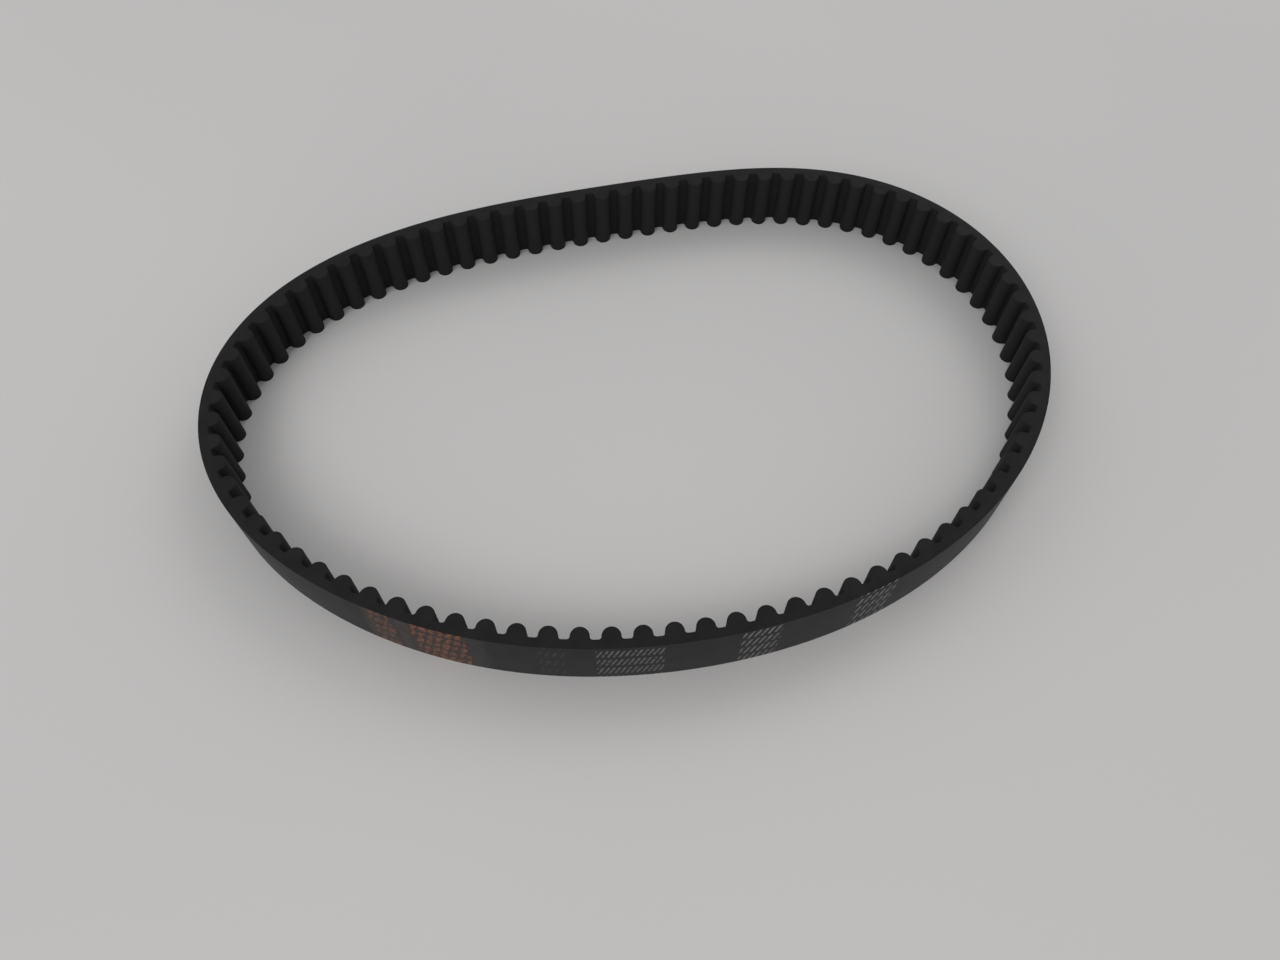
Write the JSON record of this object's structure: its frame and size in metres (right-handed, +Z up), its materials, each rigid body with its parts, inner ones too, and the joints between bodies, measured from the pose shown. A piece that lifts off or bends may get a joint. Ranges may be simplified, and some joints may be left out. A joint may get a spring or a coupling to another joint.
{
  "type": "timing belt",
  "caption": "Endless toothed synchronous belt with round teeth inside and a smooth back, standing on its edge as a flexible oval loop.",
  "frame": {"origin": "below the middle of the loop, on the plane that the belt's edge rests on", "axes": "+X along the loop's longer side, +Z up across the belt's width"},
  "size_m": [0.2506, 0.1638, 0.02],
  "materials": {
    "rubber": "matte black moulded rubber with a finely ground back and worn transfer printing",
    "facing": "tight black nylon stretch weave, dull, slightly bluish grey where the tips are rubbed",
    "cords": "twisted glass fibre cord, off-white, dipped in adhesive"
  },
  "bodies": {
    "section_01": {"tooth_facing_01": "facing", "tension_cords_01": "cords", "rubber_body_01": "rubber"},
    "section_02": {"tooth_facing_02": "facing", "tension_cords_02": "cords", "rubber_body_02": "rubber"},
    "section_03": {"tooth_facing_03": "facing", "tension_cords_03": "cords", "rubber_body_03": "rubber"},
    "section_04": {"tooth_facing_04": "facing", "tension_cords_04": "cords", "rubber_body_04": "rubber"},
    "section_05": {"tooth_facing_05": "facing", "tension_cords_05": "cords", "rubber_body_05": "rubber"},
    "section_06": {"tooth_facing_06": "facing", "tension_cords_06": "cords", "rubber_body_06": "rubber"},
    "section_07": {"tooth_facing_07": "facing", "tension_cords_07": "cords", "rubber_body_07": "rubber"},
    "section_08": {"tooth_facing_08": "facing", "tension_cords_08": "cords", "rubber_body_08": "rubber"},
    "section_09": {"tooth_facing_09": "facing", "tension_cords_09": "cords", "rubber_body_09": "rubber"},
    "section_10": {"tooth_facing_10": "facing", "tension_cords_10": "cords", "rubber_body_10": "rubber"},
    "section_11": {"tooth_facing_11": "facing", "tension_cords_11": "cords", "rubber_body_11": "rubber"},
    "section_12": {"tooth_facing_12": "facing", "tension_cords_12": "cords", "rubber_body_12": "rubber"},
    "section_13": {"tooth_facing_13": "facing", "tension_cords_13": "cords", "rubber_body_13": "rubber"},
    "section_14": {"tooth_facing_14": "facing", "tension_cords_14": "cords", "rubber_body_14": "rubber"}
  },
  "joints": [
    {"name": "flex_05_06", "type": "hinge", "parent": "section_06", "child": "section_05", "pos_m": [-0.12323, 0.00531, 0.01], "axis": [0, 0, -1], "range_deg": [-12, 20], "stiffness_Nm_per_rad": 0.2},
    {"name": "flex_04_05", "type": "hinge", "parent": "section_05", "child": "section_04", "pos_m": [-0.10682, 0.04883, 0.01], "axis": [0, 0, -1], "range_deg": [-5.55, 9.18]},
    {"name": "flex_03_04", "type": "hinge", "parent": "section_04", "child": "section_03", "pos_m": [-0.07283, 0.06925, 0.01], "axis": [0, 0, -1], "range_deg": [-8.42, 5.09]},
    {"name": "flex_02_03", "type": "hinge", "parent": "section_03", "child": "section_02", "pos_m": [-0.02579, 0.0781, 0.01], "axis": [0, 0, -1], "range_deg": [-13.36, 8.05]},
    {"name": "flex_01_02", "type": "hinge", "parent": "section_02", "child": "section_01", "pos_m": [0.02217, 0.07997, 0.01], "axis": [0, 0, -1], "range_deg": [-15.47, 9.32]},
    {"name": "flex_06_07", "type": "hinge", "parent": "section_06", "child": "section_07", "pos_m": [-0.1029, -0.03718, 0.01], "axis": [0, 0, 1], "range_deg": [-5.35, 8.84]},
    {"name": "flex_07_08", "type": "hinge", "parent": "section_07", "child": "section_08", "pos_m": [-0.06419, -0.06509, 0.01], "axis": [0, 0, 1], "range_deg": [-0.84, 0.55]},
    {"name": "flex_08_09", "type": "hinge", "parent": "section_08", "child": "section_09", "pos_m": [-0.01829, -0.07844, 0.01], "axis": [0, 0, 1], "range_deg": [-15.9, 9.58]},
    {"name": "flex_09_10", "type": "hinge", "parent": "section_09", "child": "section_10", "pos_m": [0.02957, -0.07832, 0.01], "axis": [0, 0, 1], "range_deg": [-16.73, 10.08]},
    {"name": "flex_10_11", "type": "hinge", "parent": "section_10", "child": "section_11", "pos_m": [0.07501, -0.06369, 0.01], "axis": [0, 0, 1], "range_deg": [-3.54, 2.16]},
    {"name": "flex_11_12", "type": "hinge", "parent": "section_11", "child": "section_12", "pos_m": [0.10565, -0.03838, 0.01], "axis": [0, 0, 1], "range_deg": [-7.55, 12.52]},
    {"name": "flex_12_13", "type": "hinge", "parent": "section_12", "child": "section_13", "pos_m": [0.12326, 0.00547, 0.01], "axis": [0, 0, 1], "range_deg": [-12.01, 19.95]},
    {"name": "flex_13_14", "type": "hinge", "parent": "section_13", "child": "section_14", "pos_m": [0.10963, 0.0504, 0.01], "axis": [0, 0, 1], "range_deg": [-2.19, 3.58]}
  ],
  "couplings": [
    {"joint": "flex_04_05", "follows": "flex_05_06", "ratio": 0.45388},
    {"joint": "flex_03_04", "follows": "flex_05_06", "ratio": -0.416},
    {"joint": "flex_02_03", "follows": "flex_05_06", "ratio": -0.66278},
    {"joint": "flex_01_02", "follows": "flex_05_06", "ratio": -0.76872},
    {"joint": "flex_06_07", "follows": "flex_05_06", "ratio": 0.43717},
    {"joint": "flex_07_08", "follows": "flex_05_06", "ratio": -0.0372},
    {"joint": "flex_08_09", "follows": "flex_05_06", "ratio": -0.79009},
    {"joint": "flex_09_10", "follows": "flex_05_06", "ratio": -0.83157},
    {"joint": "flex_10_11", "follows": "flex_05_06", "ratio": -0.17205},
    {"joint": "flex_11_12", "follows": "flex_05_06", "ratio": 0.62103},
    {"joint": "flex_12_13", "follows": "flex_05_06", "ratio": 0.99246},
    {"joint": "flex_13_14", "follows": "flex_05_06", "ratio": 0.17387}
  ]
}
